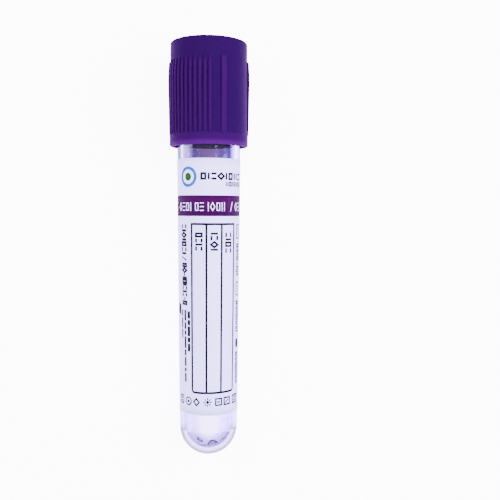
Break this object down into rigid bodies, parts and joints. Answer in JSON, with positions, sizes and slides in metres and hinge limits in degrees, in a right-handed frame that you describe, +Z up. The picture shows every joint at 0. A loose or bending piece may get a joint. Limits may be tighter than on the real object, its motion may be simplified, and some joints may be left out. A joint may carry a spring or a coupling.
{
  "type": "blood collection tube",
  "caption": "Clear round-bottomed sample tube with a rubber stopper in a ribbed purple safety cap, a wrapped paper label and droplets of additive inside.",
  "frame": {"origin": "on the floor under the middle of the tube's bounding box, as the tube lies at rest", "axes": "+Z up, +Y along the tube towards the cap (the axis rises 2.1 degrees towards it), +X to the right seen from above"},
  "size_m": [0.0166, 0.0846, 0.0167],
  "materials": {
    "clear_plastic": "clear, moulded, smooth",
    "stopper_rubber": "matt moulded rubber",
    "cap_plastic": "satin, fine moulded",
    "label_paper": "smooth coated paper",
    "additive": "clear liquid"
  },
  "bodies": {
    "tube": {"tube": "clear_plastic", "label": "label_paper", "additive_droplets": "additive"},
    "stopper": {"stopper": "stopper_rubber"},
    "cap": {"cap": "cap_plastic"}
  },
  "joints": [
    {"name": "closure_pull", "type": "slide", "parent": "tube", "child": "stopper", "axis": [0, 0.9994, 0.0358], "range_m": [0, 0.026]},
    {"name": "cap_twist", "type": "hinge", "parent": "stopper", "child": "cap", "pos_m": [0, 0.02125, 0.00798], "axis": [0, 0.9994, 0.0358], "continuous": true}
  ]
}
